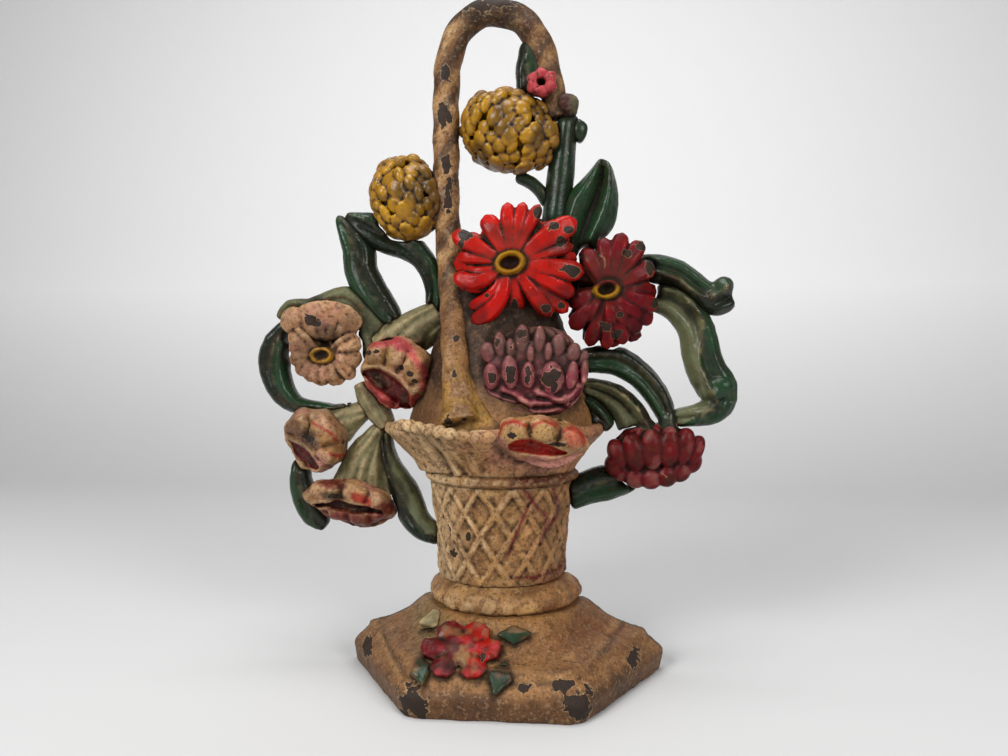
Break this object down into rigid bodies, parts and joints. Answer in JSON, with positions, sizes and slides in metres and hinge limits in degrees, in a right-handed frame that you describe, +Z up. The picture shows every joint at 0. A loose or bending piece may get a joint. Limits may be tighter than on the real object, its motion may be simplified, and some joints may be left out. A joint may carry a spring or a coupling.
{
  "type": "doorstop",
  "caption": "Flat-backed cast iron doorstop shaped as a handled lattice basket of flowers and leaves on a half-hexagonal foot.",
  "frame": {"origin": "bottom centre of the bounding box, on the surface that the foot stands on", "axes": "+Z up; +Y from the flowers' front to the flat back; +X to the right as seen from the front"},
  "size_m": [0.1834, 0.0519, 0.2542],
  "materials": {
    "cream_paint": "old cream paint gone tan, rubbed through to iron",
    "umber_paint": "brown-tan paint, grimy",
    "green_paint": "dark green enamel, satin, chipped",
    "sage_paint": "pale grey-green paint, worn",
    "ochre_paint": "yellow ochre enamel with dark hollows",
    "scarlet_paint": "bright red enamel, glossy, chipped",
    "crimson_paint": "dark crimson enamel, chipped",
    "plum_paint": "purple and plum paint, chipped",
    "pink_paint": "cream paint washed with pink and red",
    "tan_paint": "tan and umber paint, worn"
  },
  "bodies": {
    "root": {"foot": "cream_paint", "pedestal_ring": "cream_paint", "basket_body": "cream_paint", "basket_band": "cream_paint", "basket_rim": "cream_paint", "mound": "umber_paint", "handle": "cream_paint", "red_zinnia": "scarlet_paint", "crimson_zinnia": "crimson_paint", "purple_mum": "plum_paint", "rim_trumpet": "pink_paint", "upper_mum": "ochre_paint", "left_mum": "ochre_paint", "pink_trumpet": "pink_paint", "daisy": "tan_paint", "lower_left_trumpet": "pink_paint", "lower_right_trumpet": "pink_paint", "small_rose": "pink_paint", "rose_bud": "umber_paint", "crimson_bud": "crimson_paint", "pink_throat": "sage_paint", "left_stem": "sage_paint", "lower_left_throat": "sage_paint", "lower_right_throat": "sage_paint", "upper_left_arc": "green_paint", "upper_left_blade": "green_paint", "daisy_leaf": "sage_paint", "far_left_leaf": "green_paint", "under_leaf": "green_paint", "lower_left_leaf": "green_paint", "right_stem": "green_paint", "mum_stem": "green_paint", "rose_leaf": "green_paint", "bud_leaf": "green_paint", "tall_leaf": "green_paint", "curled_leaf": "green_paint", "wavy_leaf": "green_paint", "dark_arc_leaf": "green_paint", "sage_arc_leaf": "sage_paint", "rim_leaf": "green_paint", "lower_right_leaf": "green_paint", "foot_flower": "scarlet_paint", "foot_leaf_right": "green_paint", "foot_leaf_low_right": "green_paint", "foot_leaf_low_left": "green_paint", "foot_leaf_high_left": "sage_paint"}
  },
  "joints": []
}
